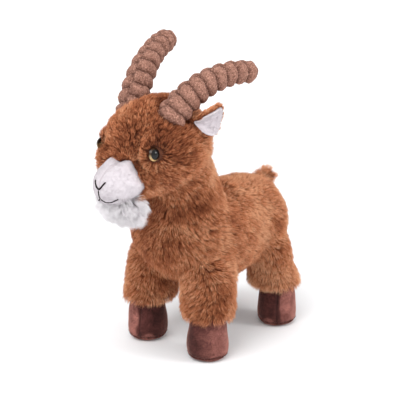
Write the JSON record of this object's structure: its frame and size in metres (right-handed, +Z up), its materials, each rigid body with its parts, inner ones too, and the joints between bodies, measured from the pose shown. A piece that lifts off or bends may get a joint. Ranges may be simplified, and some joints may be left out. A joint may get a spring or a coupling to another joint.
{
  "type": "plush ibex toy",
  "caption": "Standing stuffed plush ibex with long brown pile, swept-back ribbed horns, white muzzle and beard, and suede hooves.",
  "frame": {"origin": "on the floor under the centre of the bounding box", "axes": "+Z up, the animal faces -Y, its left side is +X"},
  "size_m": [0.1098, 0.2371, 0.2815],
  "materials": {
    "brown_fur": "long acrylic pile, mottled brown with lighter tips",
    "white_pile": "short brushed pile, cool white",
    "horn_pile": "short pile, tan brown, gathered into ribs",
    "hoof_suede": "micro-suede, dark reddish brown",
    "fibre_fill": "polyester fibre filling",
    "thread": "embroidery thread, dark brown",
    "amber_plastic": "moulded plastic, amber with a gold tint",
    "black_plastic": "moulded plastic, glossy black",
    "washer_plastic": "moulded plastic, natural white"
  },
  "bodies": {
    "torso": {"torso_side_left": "brown_fur", "torso_side_right": "brown_fur", "chest_panel": "brown_fur", "belly_panel": "brown_fur", "torso_stuffing": "fibre_fill"},
    "tail": {"tail_top": "brown_fur", "tail_underside": "brown_fur"},
    "neck": {"neck_side_left": "brown_fur", "neck_side_right": "brown_fur", "neck_stuffing": "fibre_fill"},
    "head": {"head_side_left": "brown_fur", "head_side_right": "brown_fur", "head_gusset": "brown_fur", "jaw_panel": "brown_fur", "head_stuffing": "fibre_fill", "muzzle_left": "white_pile", "muzzle_right": "white_pile", "chin_panel": "white_pile", "beard": "white_pile", "nostril_stitches": "thread", "mouth_stitches": "thread", "eye_left": "amber_plastic", "eye_right": "amber_plastic", "pupil_left": "black_plastic", "pupil_right": "black_plastic", "eye_washer_left": "washer_plastic", "eye_washer_right": "washer_plastic"},
    "horn_left": {"horn_left_outer": "horn_pile", "horn_left_inner": "horn_pile", "horn_left_stuffing": "fibre_fill"},
    "horn_right": {"horn_right_outer": "horn_pile", "horn_right_inner": "horn_pile", "horn_right_stuffing": "fibre_fill"},
    "ear_left": {"ear_left_back": "brown_fur", "ear_left_lining": "white_pile"},
    "ear_right": {"ear_right_back": "brown_fur", "ear_right_lining": "white_pile"},
    "leg_front_left": {"leg_front_left_skin": "brown_fur", "leg_front_left_stuffing": "fibre_fill", "hoof_front_left_outer": "hoof_suede", "hoof_front_left_inner": "hoof_suede", "hoof_front_left_sole": "hoof_suede"},
    "leg_front_right": {"leg_front_right_skin": "brown_fur", "leg_front_right_stuffing": "fibre_fill", "hoof_front_right_outer": "hoof_suede", "hoof_front_right_inner": "hoof_suede", "hoof_front_right_sole": "hoof_suede"},
    "leg_rear_left": {"leg_rear_left_skin": "brown_fur", "leg_rear_left_stuffing": "fibre_fill", "hoof_rear_left_outer": "hoof_suede", "hoof_rear_left_inner": "hoof_suede", "hoof_rear_left_sole": "hoof_suede"},
    "leg_rear_right": {"leg_rear_right_skin": "brown_fur", "leg_rear_right_stuffing": "fibre_fill", "hoof_rear_right_outer": "hoof_suede", "hoof_rear_right_inner": "hoof_suede", "hoof_rear_right_sole": "hoof_suede"}
  },
  "joints": [
    {"name": "head_turn", "type": "hinge", "parent": "torso", "child": "neck", "pos_m": [0, -0.017, 0.128], "axis": [0, 0, 1], "range_deg": [-20, 20], "stiffness_Nm_per_rad": 1},
    {"name": "head_nod", "type": "hinge", "parent": "neck", "child": "head", "pos_m": [0, -0.031, 0.165], "axis": [1, 0, 0], "range_deg": [-12, 12], "stiffness_Nm_per_rad": 1},
    {"name": "horn_left_flex", "type": "hinge", "parent": "head", "child": "horn_left", "pos_m": [0.0235, -0.051, 0.225], "axis": [0.9659, -0.2588, 0], "range_deg": [-6, 6], "stiffness_Nm_per_rad": 0.15},
    {"name": "ear_left_fold", "type": "hinge", "parent": "head", "child": "ear_left", "pos_m": [0.0388, -0.043, 0.216], "axis": [-0.2825, 0.2926, -0.9135], "range_deg": [-15, 15], "stiffness_Nm_per_rad": 0.003},
    {"name": "leg_front_left_swing", "type": "hinge", "parent": "torso", "child": "leg_front_left", "pos_m": [0.031, -0.016, 0.076], "axis": [1, 0, 0], "range_deg": [-15, 15], "stiffness_Nm_per_rad": 0.6},
    {"name": "leg_rear_left_swing", "type": "hinge", "parent": "torso", "child": "leg_rear_left", "pos_m": [0.031, 0.072, 0.076], "axis": [1, 0, 0], "range_deg": [-15, 15], "stiffness_Nm_per_rad": 0.6},
    {"name": "horn_right_flex", "type": "hinge", "parent": "head", "child": "horn_right", "pos_m": [-0.0235, -0.051, 0.225], "axis": [0.9659, 0.2588, 0], "range_deg": [-6, 6], "stiffness_Nm_per_rad": 0.15},
    {"name": "ear_right_fold", "type": "hinge", "parent": "head", "child": "ear_right", "pos_m": [-0.0388, -0.043, 0.216], "axis": [-0.2825, -0.2926, 0.9135], "range_deg": [-15, 15], "stiffness_Nm_per_rad": 0.003},
    {"name": "leg_front_right_swing", "type": "hinge", "parent": "torso", "child": "leg_front_right", "pos_m": [-0.031, -0.016, 0.076], "axis": [1, 0, 0], "range_deg": [-15, 15], "stiffness_Nm_per_rad": 0.6},
    {"name": "leg_rear_right_swing", "type": "hinge", "parent": "torso", "child": "leg_rear_right", "pos_m": [-0.031, 0.072, 0.076], "axis": [1, 0, 0], "range_deg": [-15, 15], "stiffness_Nm_per_rad": 0.6},
    {"name": "tail_wag", "type": "hinge", "parent": "torso", "child": "tail", "pos_m": [0, 0.097, 0.129], "axis": [1, 0, 0], "range_deg": [-15, 15], "stiffness_Nm_per_rad": 0.006}
  ]
}
